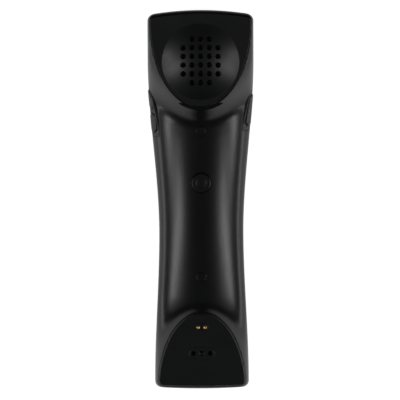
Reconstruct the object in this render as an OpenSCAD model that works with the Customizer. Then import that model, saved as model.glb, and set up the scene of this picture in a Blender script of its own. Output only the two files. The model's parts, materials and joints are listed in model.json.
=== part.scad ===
// Cordless telephone handset, lying on its back with the inner side up.
// +Z leaves the inner side, +Y runs to the earpiece end, +X to the right of someone looking down on it.
// The origin is on the surface it lies on, below the middle of its length.

/* [Housing] */
// Overall length from the earpiece end to the mouthpiece end
body_len = 205; // [196:1:214]
// Width across the earpiece end
ear_w = 57.5; // [55:0.5:62]
// Width across the narrowest part of the grip
waist_w = 45.9; // [43:0.1:50]
// Width across the mouthpiece end
mouth_w = 50.9; // [49:0.1:56]
// Distance of the narrowest part of the grip from mid length, towards the mouthpiece
waist_y = 18; // [10:1:26]
// Thickness of the grip at its thinnest
grip_t = 22.5; // [22:0.5:25]
// Radius of the arched back
back_r = 560; // [420:10:800]
// Radius of the hollow of the grip, seen from the side
hollow_r = 400; // [340:10:600]
// Height of the seam between the shells at mid length
seam_z = 10; // [9:0.5:11.5]
// Radius of the seam's arch, seen from the side
seam_r = 430; // [380:10:700]
// Radius of the corners and end edges
corner_r = 3.2; // [2.8:0.1:4]
// Bow of the earpiece end, as a radius in plan
ear_bow_r = 165; // [140:5:260]
// Bow of the mouthpiece end, as a radius in plan
mouth_bow_r = 390; // [300:10:600]
// Wall of the two shells
wall = 2; // [1.8:0.1:2.3]
// Open gap along the seam
seam_gap = 0.3; // [0.2:0.05:0.4]
// Height of the tongue that locates the shells
tongue_h = 1.4; // [1:0.1:1.8]

/* [Earpiece] */
// Distance of the dish's centre from the earpiece end
ear_inset = 28; // [26.5:0.5:30]
// Height of the earpiece face at the dish's centre
ear_z = 40.5; // [39:0.5:43]
// Tilt of the earpiece face towards the mouthpiece, in degrees
ear_tilt = 8; // [6:0.5:10]
// Width of the housing beside the earpiece cover
ear_side = 1.25; // [1.15:0.05:1.9]
// Length of the cover's oval, from its wide end to its narrow tip
ear_cover_b = 46.4; // [45:0.1:47]
// Thickness of the earpiece cover
ear_cover_t = 2; // [1.8:0.1:2.4]
// Width of the housing's rim around the cover
ear_rim = 0.8; // [0.6:0.05:0.9]
// Width of the cover beside the dish
dish_side = 3.3; // [2.6:0.1:4.2]
// Radius of the dish's hollow
dish_curve = 42; // [40:1:55]
// Radius of one sound hole
sound_r = 1.5; // [1.2:0.05:1.7]
// Spacing of the sound holes
sound_pitch = 4.75; // [4.5:0.05:5]

/* [Mouthpiece] */
// Height of the mouthpiece face at the microphone
mouth_z = 34.5; // [33:0.5:36]
// Distance of the microphone from the mouthpiece end
mic_inset = 19; // [17:0.5:21]
// Tilt of the mouthpiece face towards the earpiece, in degrees
mouth_tilt = 11; // [9:0.5:13]
// Width of the housing beside the mouthpiece cover
mouth_side = 1.55; // [1.35:0.05:2]
// Length of the cover's oval, from its wide end to its narrow tip
mouth_cover_b = 42.2; // [40:0.1:43]
// Thickness of the mouthpiece cover
mouth_cover_t = 2.6; // [2.2:0.1:3]
// How far the mouthpiece cover stands proud of the housing
mouth_proud = 1.2; // [0.8:0.1:1.4]
// Radius of the middle microphone hole
mic_hole_r = 1.6; // [1.3:0.05:1.7]
// Radius of the outer microphone holes
mic_side_r = 1.3; // [1:0.05:1.4]
// Spacing of the microphone holes
mic_pitch = 4.5; // [4:0.1:4.8]
// Radius of a charging contact
contact_r = 1.1; // [0.9:0.05:1.3]
// Spacing of the charging contacts
contact_pitch = 3.9; // [3.4:0.1:4.2]
// Distance of the charging contacts from the mouthpiece end
contact_inset = 33.2; // [32.5:0.1:34]

/* [Keys] */
// Distance of the call key from mid length, towards the earpiece
call_y = 8.8; // [5:0.2:12]
// Radius of the call key
call_r = 5.2; // [4.8:0.1:5.6]
// Play around every key
key_play = 0.3; // [0.2:0.05:0.4]
// Height that the call key stands above the grip
call_proud = 0.25; // [0:0.05:0.4]
// Travel of every key
key_travel = 0.4; // [0.3:0.05:0.5]
// Length of one volume key
volume_len = 10.4; // [9.6:0.2:10.8]
// Distance of the middle of the volume keys from the earpiece end
volume_inset = 54.3; // [52.5:0.1:55.5]
// Gap between the volume keys
volume_gap = 2.4; // [1.8:0.1:3]
// Length of the mute key
mute_len = 17.4; // [16:0.2:18.4]
// Distance of the mute key from the earpiece end
mute_inset = 53.9; // [52.5:0.1:55.5]
// Height of a side key
side_key_h = 4.4; // [4:0.1:4.6]
// Height of the plate around the side keys
bezel_h = 6.8; // [6.4:0.1:7.2]
// Width of the plate that shows beyond a key's end
bezel_margin = 2.4; // [2:0.1:2.8]
// Thickness of the plate around the side keys
bezel_t = 0.8; // [0.7:0.05:0.9]
// Height of the side keys above their plate
side_key_proud = 0.5; // [0.3:0.05:0.7]

/* [Screws] */
// Distance of the upper screw from the earpiece end
screw_upper_inset = 65.6; // [64.5:0.1:68.5]
// Distance of the lower screw from the mouthpiece end
screw_lower_inset = 60.2; // [56.5:0.1:61.5]
// Radius of a screw's cover
plug_r = 2.6; // [2.4:0.1:3]
// Thickness of a screw's cover
plug_t = 0.9; // [0.7:0.05:1.1]
// Radius of a screw's head
head_r = 2; // [1.8:0.05:2.2]
// Radius of a screw's shank
shank_r = 1.1; // [1:0.05:1.2]

/* [Inside] */
// Height of the main board's lower face above the seam at mid length
board_rise = 3.2; // [3:0.1:3.6]
// Thickness of the main board
board_t = 1.2; // [1:0.05:1.3]
// Distance of the main board's edge from the outside of the waist
board_side = 5.45; // [5:0.05:6.5]
// Distance of the battery's side from the outside of the waist
battery_side = 8.95; // [8.5:0.05:11]
// Room between the battery and the screw bosses
battery_room = 10.4; // [9.5:0.1:14]
// Height of the battery's lower face
battery_z = 4.3; // [4.1:0.1:5]
// Thickness of the pad between the battery and the board
battery_pad_t = 1.3; // [1:0.1:2]
// Width of the dish beyond the receiver capsule
receiver_inset = 4.9; // [4.3:0.1:6]
// Thickness of the receiver capsule
receiver_t = 6.4; // [5.6:0.1:7]
// Radius of the microphone capsule
mic_r = 3; // [2.6:0.1:3.2]
// Thickness of the microphone capsule
mic_t = 2.2; // [1.8:0.1:2.6]

/* [Hidden] */
$fn = 48;

half_len = body_len / 2;
// Places of what is measured from the two ends, along the length
ear_y = half_len - ear_inset;
mic_y = half_len - mic_inset;
contact_y = half_len - contact_inset;
volume_y = half_len - volume_inset;
mute_y = half_len - mute_inset;
screw_upper_y = half_len - screw_upper_inset;
screw_lower_y = half_len - screw_lower_inset;
// Where the width stops growing at the two ends
ear_full_inset = 27.5;
mouth_full_inset = 5.5;
ear_full_y = half_len - ear_full_inset;
mouth_full_y = mouth_full_inset - half_len;
// Middles of the wide ends of the two oval covers, and their far ends
ear_oval_inset = 6;
ear_end_inset = 1.9;
mouth_oval_past = 1.5;
mouth_end_inset = 1.2;
ear_oval_y = half_len - ear_oval_inset;
ear_end_y = half_len - ear_end_inset;
mouth_oval_y = -half_len - mouth_oval_past;
mouth_end_y = mouth_end_inset - half_len;
// Half widths of the two covers, and the radius of the dish between the sides of its cover
ear_cover_a = ear_w / 2 - ear_side;
mouth_cover_a = mouth_w / 2 - mouth_side;
dish_r = ear_cover_a * sqrt(1 - pow((ear_oval_y - ear_y) / ear_cover_b, 2)) - dish_side;
// Slopes of the two faces
ear_slope = tan(ear_tilt);
mouth_slope = tan(mouth_tilt);
// The walls that fall away from the two faces: their slope at the edge, and how fast they steepen
ear_fall = [1.15, 0.055];
mouth_fall = [1.1, 0.05];
// Softness of those edges, and widths of the hollows where the grip meets the two ends
edge_soft = 0.4;
ear_hollow = 14;
mouth_hollow = 7;
// Lengths at the two ends over which they bow, square up and gather their shoulders
bow_inset = 42.5;
bow_len = 40;
ear_square_inset = 52.5;
ear_square_len = 34;
ear_shoulder_inset = 56.5;
ear_shoulder_len = 32;
mouth_square_len = 36;
mouth_shoulder_inset = 50.5;
mouth_shoulder_len = 34;
bow_from = half_len - bow_inset;
ear_square_from = half_len - ear_square_inset;
ear_shoulder_from = half_len - ear_shoulder_inset;
mouth_shoulder_from = half_len - mouth_shoulder_inset;
// Lowest place of the hollow of the grip, and how far and over which stretch it rises towards the ends
crown_low_y = -12;
crown_rise = 4.6;
crown_rise_len = 40;
crown_rise_from = bow_from - 15;
// Clearance of a part that is dropped into a recess
fit = 0.1;

function clamp01(t) = max(0, min(1, t));
function smooth(t) = let (u = clamp01(t)) u * u * (3 - 2 * u);
function mix(a, b, t) = a + (b - a) * t;
function arch(y, r) = y * y / (2 * r);
// The larger of two heights, with a soft hollow of width k where they meet
function blend_max(a, b, k) = let (h = max(k - abs(a - b), 0)) max(a, b) + h * h * h / (6 * k * k);

// Half width of the housing in plan
function half_w(y) = y > -waist_y
    ? mix(waist_w, ear_w, smooth((y + waist_y) / (ear_full_y + waist_y))) / 2
    : mix(waist_w, mouth_w, smooth((y + waist_y) / (mouth_full_y + waist_y))) / 2;

// Heights of the back, the seam and the grip's crown along the middle
function back_z(y) = arch(y, back_r);
function seam_at(y) = seam_z + arch(y, seam_r);
function crown_z(y) = let (u = abs(y - crown_low_y))
    grip_t + mix(arch(u, hollow_r), crown_rise, smooth((u - crown_rise_from) / crown_rise_len));

// Heights of the covers' two faces
function ear_face_z(y) = ear_z + (y - ear_y) * ear_slope;
function mouth_face_z(y) = mouth_z - (mic_y + y) * mouth_slope;

// Distance outside an oval with half width a and length b, whose wide end is v = 0
function oval_gap(x, v, a, b) = let (u = max(v, 0), q = max(norm([x / a, u / b]), 0.2))
    (q - 1) * q / max(norm([x / (a * a), u / (b * b)]), 0.001);

// Drop of the wall that falls away from a face, at a distance d outside its edge
function fall(d, f) = d < -edge_soft ? 0
    : d < edge_soft ? f[0] * (d + edge_soft) * (d + edge_soft) / (4 * edge_soft)
    : f[0] * d + f[1] * d * d;

// How square the flanks are, and how far the rounding of the shoulders reaches in
function squareness(y) = 2.05 + 5.5 * smooth((y - ear_square_from) / ear_square_len)
    + 2.2 * smooth((-y - bow_from) / mouth_square_len);
function shoulder(y) = mix(
    mix(1, 0.15, smooth((y - ear_shoulder_from) / ear_shoulder_len)), 0.3,
    smooth((-y - mouth_shoulder_from) / mouth_shoulder_len));

// Height of the inner side at depth t under its surface, before the flanks are rounded.
// seat is 1 under the covers, where the wall also steps down by their thickness.
function top_z(x, y, t, seat) = blend_max(
    blend_max(
        crown_z(y) - t,
        ear_face_z(y) - t - seat * ear_cover_t - fall(
            oval_gap(x, ear_oval_y - y, ear_cover_a + ear_rim, ear_cover_b + ear_rim) + 0.3 + 0.6 * t,
            ear_fall),
        ear_hollow),
    mouth_face_z(y) - mouth_proud - t - seat * (mouth_cover_t - mouth_proud) - fall(
        oval_gap(x, y - mouth_oval_y, mouth_cover_a + 0.5, mouth_cover_b + 0.5) + 0.6 * t, mouth_fall),
    mouth_hollow);

// The rounding of a flank, from 1 on top to 0 at the seam
function round_off(s, n) = pow(max(1 - pow(min(s, 1), n), 0), 1 / n);

// Height above the seam at which the front shell begins at depth t, which leaves a groove for the tongue
function lift_at(t) = seam_gap / 2 + (tongue_h + seam_gap / 2) * clamp01(t / wall);

// Height of the inner side at a place in plan, at depth t
function skin_z(x, y, t) = let (
    w = half_w(y) - t,
    r = w * shoulder(y),
    s = max(abs(x) - (w - r), 0) / r)
    mix(seam_at(y) + lift_at(t), top_z(x, y, t, 0), round_off(s, squareness(y)));

// Distance of the flank from the middle plane at depth t, at a height h above the seam
function flank_x(y, h, t) = let (
    w = half_w(y) - t,
    r = w * shoulder(y),
    n = squareness(y),
    q = max(h - lift_at(t), 0) / (top_z(w, y, t, 0) - seam_at(y) - lift_at(t)))
    w - r + r * round_off(q, n);

// Point on the inner side at angle a, from -90 on the left seam to 90 on the right seam.
// inset draws the flanks in and lowers the top: it rounds the ends.
function front_point(a, y, t, seat, inset) = let (
    w = half_w(y) - t,
    x = w * sin(a),
    r = w * shoulder(y),
    s = max(abs(x) - (w - r), 0) / r,
    z = mix(seam_at(y) + lift_at(t), top_z(x, y, t, seat) - inset, round_off(s, squareness(y))))
    [x * (w - inset) / w, y, z];

back_squareness = 2.7;
function back_point(a, y, t, inset, lift) = let (
    w = half_w(y) - t,
    x = w * sin(a),
    z = mix(seam_at(y) + lift, back_z(y) + t + inset, round_off(abs(sin(a)), back_squareness)))
    [x * (w - inset) / w, y, z];

// The ends are bowed in plan
function bow(p) = [
    p[0],
    p[1] - arch(p[0], ear_bow_r) * smooth((p[1] - bow_from) / bow_len)
        + arch(p[0], mouth_bow_r) * smooth((-p[1] - bow_from) / bow_len),
    p[2]];

// Stations along the length as [y, inset, flat]: a rounded corner and a flat wall close each end
corner_steps = [30, 60, 90];
function stations(t, n) = let (r = max(corner_r - t, 0.8), l = half_len - t) concat(
    [[-l, r, true]],
    [for (i = [2:-1:0]) [-l + r - r * sin(corner_steps[i]), r * (1 - cos(corner_steps[i])), false]],
    [for (i = [0:n]) [mix(-l + r, l - r, i / n), 0, false]],
    [for (c = corner_steps) [l - r + r * sin(c), r * (1 - cos(c)), false]],
    [[l, r, true]]);

function front_rows(t, seat, n, m) = [for (s = stations(t, n)) [for (j = [0:m])
    let (p = front_point(mix(-90, 90, j / m), s[0], t, seat, s[1]))
    bow([p[0], p[1], s[2] ? seam_at(s[0]) + lift_at(t) : p[2]])]];

function back_rows(t, n, m, lift) = [for (s = stations(t, n)) [for (j = [0:m])
    let (p = back_point(mix(-90, 90, j / m), s[0], t, s[1], lift))
    bow([p[0], p[1], s[2] ? seam_at(s[0]) + lift : p[2]])]];

function flat(rows) = [for (r = rows) each r];

// The closed loop of a grid's border, as indices into the flattened grid
function border(rows, cols) = concat(
    [for (j = [0:cols - 2]) j],
    [for (i = [0:rows - 2]) i * cols + cols - 1],
    [for (j = [cols - 1:-1:1]) (rows - 1) * cols + j],
    [for (i = [rows - 1:-1:1]) i * cols]);

// A point of the border moved part of the way in through the wall, at a height above the seam
function rim_loop(outer, inner, share, lift) = let (a = flat(outer), b = flat(inner))
    [for (e = border(len(outer), len(outer[0]))) let (p = mix(a[e], b[e], share))
        [p[0], p[1], seam_at(p[1]) + lift]];

// Triangles of a grid that looks up or down
function grid_faces(rows, cols, start, up) = [for (i = [0:rows - 2], j = [0:cols - 2])
    let (a = start + i * cols + j, b = a + 1, c = a + cols, d = c + 1)
    each (up ? [[a, c, b], [b, c, d]] : [[a, b, c], [b, d, c]])];

// A closed solid between an outer and an inner grid, with more loops along its rim if it has a step
module between(outer, inner, up, rims = []) {
    rows = len(outer);
    cols = len(outer[0]);
    count = rows * cols;
    edge = border(rows, cols);
    k = len(edge);
    loops = concat(
        [edge],
        [for (i = [0:1:len(rims) - 1]) [for (j = [0:k - 1]) 2 * count + i * k + j]],
        [[for (e = edge) e + count]]);
    rim_faces = [for (i = [0:len(loops) - 2], j = [0:k - 1])
        let (a = loops[i][j], b = loops[i][(j + 1) % k], c = loops[i + 1][j], d = loops[i + 1][(j + 1) % k])
        each (up ? [[a, b, c], [b, d, c]] : [[a, c, b], [b, c, d]])];
    polyhedron(
        concat(flat(outer), flat(inner), flat(rims)),
        concat(grid_faces(rows, cols, 0, up), grid_faces(rows, cols, count, !up), rim_faces));
}

// A closed solid through loops of equally many points, from the lowest loop up
module loft(loops) {
    k = len(loops[0]);
    top = (len(loops) - 1) * k;
    sides = [for (i = [0:len(loops) - 2], j = [0:k - 1])
        let (a = i * k + j, b = i * k + (j + 1) % k)
        each [[a, a + k, b + k], [a, b + k, b]]];
    polyhedron(flat(loops), concat(sides, [[for (j = [0:k - 1]) j]], [[for (j = [k - 1:-1:0]) top + j]]));
}

// A wire of radius r whose route [y, z] lies in the plane at x
module wire(x, route, r) loft([for (i = [0:len(route) - 1])
    let (
        d = route[min(i + 1, len(route) - 1)] - route[max(i - 1, 0)],
        t = d / norm(d),
        p = route[i])
    [for (c = [0:60:300]) [x + r * cos(c), p[0] + r * sin(c) * t[1], p[1] - r * sin(c) * t[0]]]]);

// Outline of a rounded rectangle
function round_rect(w, l, r) = [for (k = [0:3], i = [0:5])
    let (t = 90 * k + 18 * i)
    [(k == 0 || k == 3 ? 1 : -1) * (w / 2 - r) + r * cos(t), (k < 2 ? 1 : -1) * (l / 2 - r) + r * sin(t)]];

module block(w, l, h, r = 0.5) linear_extrude(h) polygon(round_rect(w, l, r));

module both_sides() {
    children();
    mirror([1, 0, 0]) children();
}

// Outline of a cover in the plane: an oval's tip at v = b, and a bowed far end at v = -reach with round corners
oval_steps = 40;
ear_cover_corner = 1.8;
mouth_cover_corner = 2.2;
function cover_outline(a, b, reach, bow_r, r) = let (
    vc = arch(a - r, bow_r) + r - reach,
    t0 = asin(vc / b),
    c = a * cos(t0) - r)
    concat(
        [for (i = [0:oval_steps]) let (t = mix(t0, 180 - t0, i / oval_steps)) [a * cos(t), b * sin(t)]],
        [for (t = [210:30:270]) [-c + r * cos(t), vc + r * sin(t)]],
        [for (i = [1:5]) let (x = mix(-c, c, i / 6)) [x, vc - r - arch(c, bow_r) + arch(x, bow_r)]],
        [for (t = [270:30:330]) [c + r * cos(t), vc + r * sin(t)]]);

// A cover's outline grown by g, on a plane dz above the cover's face
function ear_loop(g, dz) = let (
    o = cover_outline(ear_cover_a + g, ear_cover_b + g, ear_end_y - ear_oval_y + g, ear_bow_r,
        ear_cover_corner + g))
    [for (i = [len(o) - 1:-1:0]) let (y = ear_oval_y - o[i][1]) [o[i][0], y, ear_face_z(y) + dz]];
function mouth_loop(g, dz) = let (
    o = cover_outline(mouth_cover_a + g, mouth_cover_b + g, mouth_oval_y - mouth_end_y + g, mouth_bow_r,
        mouth_cover_corner + g))
    [for (p = o) let (y = mouth_oval_y + p[1]) [p[0], y, mouth_face_z(y) + dz]];

// The frames of the two faces, and the route points [y, z] of a place given in them
module on_ear() translate([0, ear_y, ear_z]) rotate([ear_tilt, 0, 0]) children();
module on_mouth() translate([0, -mic_y, mouth_z]) rotate([-mouth_tilt, 0, 0]) children();
function ear_at(y, z) = [
    ear_y + y * cos(ear_tilt) - z * sin(ear_tilt),
    ear_z + y * sin(ear_tilt) + z * cos(ear_tilt)];
function mouth_at(y, z) = [
    -mic_y + y * cos(mouth_tilt) + z * sin(mouth_tilt),
    mouth_z - y * sin(mouth_tilt) + z * cos(mouth_tilt)];

// The frame of the grip's crown
module on_crown(y) translate([0, y, crown_z(y)]) rotate([atan((y - crown_low_y) / hollow_r), 0, 0]) children();

// Heights in the earpiece's frame: the dish is a ball's cap, the bowl under it another on the same centre
dish_centre = sqrt(dish_curve * dish_curve - dish_r * dish_r);
function ball_z(r, curve) = dish_centre - sqrt(curve * curve - r * r);
bowl_wall = 0.9;
bowl_r = dish_r + bowl_wall;
bowl_curve = dish_curve + ear_cover_t;
bowl_low = ball_z(0, bowl_curve);
receiver_r = dish_r - receiver_inset;
gasket_room = 1.6;
receiver_top = bowl_low - gasket_room;
receiver_back = receiver_top - receiver_t;
cone_r = 0.81 * receiver_r;
cone_deep = 1;
cone_t = 0.25;
magnet_r = 0.53 * receiver_r;
magnet_h = 4;
magnet_proud = 0.8;
magnet_bore_r = 1.2;
basket_step = 2.6;
basket_rise = 4.2;
tube_r = receiver_r + fit;
tube_wall = 1.5;
retainer_t = 1.2;
retainer_r = 0.79 * receiver_r;
receiver_lead_r = (magnet_r + retainer_r) / 2;
tube_low = receiver_back - retainer_t - 0.2;
mesh_r = 0.9 * receiver_r;
mesh_t = 0.35;
ear_rim_below = 1.2;
ear_rim_drop = 0.2;
ear_rim_end_y = half_len - 16.5;
sound_grid = [for (j = [-2.5:1:2.5], i = [-2:2]) if (abs(j) < 2 || abs(i) < 2) [i, j] * sound_pitch];

module ball(r) translate([0, 0, dish_centre]) sphere(r);

module earpiece_cover() color("#1d1f1f") difference() {
    union() {
        loft([ear_loop(0, -ear_cover_t), ear_loop(0, -0.5), ear_loop(-0.15, -0.15), ear_loop(-0.5, 0)]);
        on_ear() intersection() {
            ball(bowl_curve);
            translate([0, 0, bowl_low - 1]) cylinder(h = 1 - bowl_low - ear_cover_t / 2, r = bowl_r);
        }
        on_ear() translate([0, 0, tube_low]) difference() {
            cylinder(h = ball_z(tube_r + tube_wall, dish_curve) - 0.5 - tube_low, r = tube_r + tube_wall);
            translate([0, 0, -1]) cylinder(h = 1 - tube_low, r = tube_r);
        }
    }
    on_ear() ball(dish_curve);
    on_ear() for (p = sound_grid) translate([p[0], p[1], bowl_low - 1])
        cylinder(h = 1 - bowl_low, r = sound_r, $fn = 24);
}

module earpiece_mesh() color("#0c0c0d") on_ear() difference() {
    intersection() {
        ball(bowl_curve + mesh_t);
        translate([0, 0, bowl_low - 1]) cylinder(h = 1 - bowl_low, r = mesh_r);
    }
    ball(bowl_curve);
}

module receiver_gasket() color("#2b2b2e") on_ear() difference() {
    translate([0, 0, receiver_top]) cylinder(h = -receiver_top, r = receiver_r);
    translate([0, 0, receiver_top - 1]) cylinder(h = 2 - receiver_top, r = mesh_r + fit);
    ball(bowl_curve);
}

module receiver() color("#303236") on_ear() rotate_extrude($fn = 64) polygon([
    [cone_r, receiver_top], [receiver_r, receiver_top], [receiver_r, receiver_back], [magnet_r, receiver_back],
    [magnet_r, receiver_back + basket_step], [cone_r - 1, receiver_back + basket_rise],
    [cone_r - 1, receiver_top - cone_deep], [cone_r, receiver_top - cone_deep]]);

module receiver_diaphragm() color("#c9c4b4") on_ear() rotate_extrude($fn = 64) polygon(concat(
    [for (i = [0:6]) [cone_r * i / 6, receiver_top - cone_deep + 0.7 * (1 - pow(i / 6, 2))]],
    [for (i = [6:-1:0]) [cone_r * i / 6, receiver_top - cone_deep - cone_t + 0.7 - 0.45 * pow(i / 6, 2)]]));

module receiver_magnet() color("#8a8d90")
    on_ear() translate([0, 0, receiver_back - magnet_proud]) difference() {
        cylinder(h = magnet_h, r = magnet_r);
        translate([0, 0, -1]) cylinder(h = 1 + magnet_bore_r, r = magnet_bore_r);
    }

module receiver_retainer() color("#26282a")
    on_ear() translate([0, 0, receiver_back - retainer_t]) difference() {
        cylinder(h = retainer_t, r = tube_r);
        translate([0, 0, -1]) cylinder(h = retainer_t + 2, r = retainer_r);
    }

// Depths in the mouthpiece's frame, and the sizes round its holes
mouth_seat = mouth_cover_t * cos(mouth_tilt);
mouth_under = (mouth_cover_t + wall) * cos(mouth_tilt);
contact_v = (mic_y - contact_y) / cos(mouth_tilt);
mic_recess_a = mic_pitch + mic_side_r + 1.2;
mic_recess_b = mic_hole_r + 2.2;
mic_recess_t = 0.5;
contact_recess_a = contact_pitch / 2 + contact_r + 0.75;
contact_recess_b = contact_r + 0.95;
contact_recess_t = 0.6;
contact_recess_cut = 0.7;
boot_r = mic_pitch + mic_side_r + 0.8;
boot_flange_w = 1.2;
boot_flange_t = 1.2;
boot_face_t = 0.6;
boot_below = 2;
mic_top = mouth_seat + 1;
mic_back = mic_top + mic_t;
mic_port_r = 0.6;
pin_flange_w = 0.5;
pin_flange_t = 1;
pin_dome = 0.55;
pin_tail_r = 0.5;
pin_flange_z = -mouth_under - 1.1;
pin_tail_z = pin_flange_z - 2.6;
block_w = contact_pitch + 2 * contact_r + 4.9;
block_l = 2 * contact_r + 3.8;
block_foot = 1.6;
block_foot_w = 1.5;

module mouthpiece_cover() color("#151616") difference() {
    loft([mouth_loop(0, -mouth_cover_t), mouth_loop(0, -0.8), mouth_loop(-0.2, -0.3), mouth_loop(-0.7, 0)]);
    on_mouth() {
        translate([0, 0, -mic_recess_t]) linear_extrude(1 + mic_recess_t)
            polygon([for (t = [0:10:350]) [mic_recess_a * cos(t), mic_recess_b * sin(t)]]);
        translate([0, 0, -mouth_under]) cylinder(h = mouth_under, r = mic_hole_r);
        both_sides() translate([mic_pitch, 0, -mouth_under]) cylinder(h = mouth_under, r = mic_side_r);
        translate([0, contact_v, -contact_recess_t]) linear_extrude(1 + contact_recess_t)
            polygon([for (side = [1, -1], v = [-side, 0, side])
                [side * contact_recess_a * (v == 0 ? 1 : contact_recess_cut), v * contact_recess_b]]);
        both_sides() translate([contact_pitch / 2, contact_v, -mouth_under])
            cylinder(h = mouth_under, r = contact_r + fit);
    }
}

module microphone_boot() color("#232325") on_mouth() difference() {
    union() {
        translate([0, 0, -mic_back - boot_below]) cylinder(h = mic_back + boot_below - mouth_seat, r = boot_r);
        translate([0, 0, -mouth_under - boot_flange_t]) cylinder(h = boot_flange_t, r = boot_r + boot_flange_w);
    }
    translate([0, 0, -mouth_seat - boot_face_t]) cylinder(h = 1 + boot_face_t, r = mic_pitch + mic_side_r);
    translate([0, 0, -mic_top - fit]) cylinder(h = 1 + fit, r = mic_hole_r);
    translate([0, 0, -mic_back - boot_below - 1]) cylinder(h = 1 + boot_below + mic_t, r = mic_r);
}

module microphone() color("#b8babd") on_mouth() difference() {
    translate([0, 0, -mic_back]) cylinder(h = mic_t, r = mic_r);
    translate([0, 0, -mic_top - 0.4]) cylinder(h = 1, r = mic_port_r);
}

module contact_block() color("#202124") on_mouth() translate([0, contact_v, 0]) difference() {
    union() {
        translate([0, 0, -mouth_under - 1]) block(block_w, block_l, mouth_under + 1 - mouth_seat);
        translate([0, 0, pin_flange_z - block_foot])
            block(block_w + 2 * block_foot_w, block_l + 2 * block_foot_w,
                block_foot - mouth_under - pin_flange_z);
    }
    both_sides() translate([contact_pitch / 2, 0, pin_tail_z]) {
        cylinder(h = -pin_tail_z, r = contact_r);
        cylinder(h = pin_flange_z - pin_tail_z, r = contact_r + pin_flange_w);
    }
}

// Turned pin with a domed head
module contact_pin() on_mouth() translate([0, contact_v, 0]) rotate_extrude($fn = 32) polygon(concat(
    [[0, pin_tail_z], [pin_tail_r, pin_tail_z], [pin_tail_r, pin_flange_z - pin_flange_t],
        [contact_r + pin_flange_w, pin_flange_z - pin_flange_t], [contact_r + pin_flange_w, pin_flange_z],
        [contact_r, pin_flange_z]],
    [for (t = [0:15:90]) [contact_r * cos(t), -1 + pin_dome * sin(t)]]));

module charging_contact_right() color("#d8a850") translate([contact_pitch / 2, 0, 0]) contact_pin();
module charging_contact_left() color("#d8a850") translate([-contact_pitch / 2, 0, 0]) contact_pin();

// Levels of the board
board_z = seam_z + board_rise;
board_top = board_z + board_t;
board_w = waist_w - 2 * board_side;
touch_gap = 0.05;

// Side keys: places on the flank are a length along the seam and a height above it
bezel_mid_h = 4.4;
bezel_r = 1.8;
key_mid_h = 4.2;
flange_gap = 0.15;
flange_t = 1;
flange_lip = 0.9;
flange_depth = wall + flange_gap + flange_t;
stem_r = 1.1;
key_back = wall + 0.6;
volume_up_y = volume_y + (volume_len + volume_gap) / 2;
volume_down_y = volume_y - (volume_len + volume_gap) / 2;
volume_bezel_len = 2 * volume_len + volume_gap + 2 * bezel_margin;
mute_bezel_len = mute_len + 2 * bezel_margin;
prism_from = 14;
prism_to = 36;

// Switches of the side keys: they stand where the lowest key leaves room for them
side_switch_w = 3;
side_switch_l = 6;
side_switch_h = 3.4;
side_switch_play = 0.2;
actuator_r = 0.9;
actuator_reach = 0.9;
side_key_z = board_top + 1.9;
switch_low_y = volume_down_y - side_switch_l / 2;
switch_face = flank_x(switch_low_y, board_top + side_switch_h - seam_at(switch_low_y), flange_depth)
    - key_travel - side_switch_play;
switch_reach = switch_face + actuator_reach;
board_wide_w = 2 * (switch_face + fit);

// Slab of the right flank from depth t_out to depth t_in
module flank_slab(y, length, t_out, t_in) {
    rows = function (t) [for (i = [0:6]) [for (a = [42:6:90])
        bow(front_point(a, y + (i / 6 - 0.5) * (length + 4), t, 0, 0))]];
    between(rows(t_out), rows(t_in), true);
}

// Upright prism that meets the right flank in a rounded outline
module flank_prism(y, h, length, high, r) translate([0, y, seam_at(y) + h]) rotate([atan(y / seam_r), 0, 0])
    rotate([0, 90, 0]) translate([0, 0, prism_from]) block(high, length, prism_to - prism_from, r);

module key_prism(y, length, grow)
    flank_prism(y, key_mid_h, length + 2 * grow, side_key_h + 2 * grow, side_key_h / 2 + grow - 0.02);

module bezel_part(y, length, t_out, t_in, grow) intersection() {
    flank_slab(y, length, t_out, t_in);
    flank_prism(y, bezel_mid_h, length + 2 * grow, bezel_h + 2 * grow, bezel_r + grow);
}

module side_key(y, length) {
    stem_from = switch_reach + key_travel + touch_gap;
    middle_z = seam_at(y) + key_mid_h;
    stem_low = min(side_key_z, middle_z) - stem_r;
    intersection() {
        flank_slab(y, length, -side_key_proud, key_back);
        key_prism(y, length, 0);
    }
    intersection() {
        flank_slab(y, length, wall + flange_gap, flange_depth);
        key_prism(y, length, flange_lip);
    }
    translate([stem_from, y - stem_r, stem_low]) cube([
        half_w(y) - key_back - stem_from, 2 * stem_r, max(side_key_z, middle_z) + stem_r - stem_low]);
}

module left_key_bezel() color("#191a1b") mirror([1, 0, 0]) difference() {
    bezel_part(volume_y, volume_bezel_len, 0, bezel_t, 0);
    key_prism(volume_up_y, volume_len, key_play);
    key_prism(volume_down_y, volume_len, key_play);
}

module right_key_bezel() color("#191a1b") difference() {
    bezel_part(mute_y, mute_bezel_len, 0, bezel_t, 0);
    key_prism(mute_y, mute_len, key_play);
}

module volume_up_key() color("#202122") mirror([1, 0, 0]) side_key(volume_up_y, volume_len);
module volume_down_key() color("#202122") mirror([1, 0, 0]) side_key(volume_down_y, volume_len);
module mute_key() color("#202122") side_key(mute_y, mute_len);

module side_switch(y) translate([switch_face - side_switch_w / 2, y, board_top]) {
    block(side_switch_w, side_switch_l, side_switch_h, 0.3);
    translate([side_switch_w / 2 - 0.5, 0, side_key_z - board_top]) rotate([0, 90, 0])
        cylinder(h = actuator_reach + 0.5, r = actuator_r);
}

module volume_up_switch() color("#3a3a3c") mirror([1, 0, 0]) side_switch(volume_up_y);
module volume_down_switch() color("#3a3a3c") mirror([1, 0, 0]) side_switch(volume_down_y);
module mute_switch() color("#3a3a3c") side_switch(mute_y);

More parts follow.
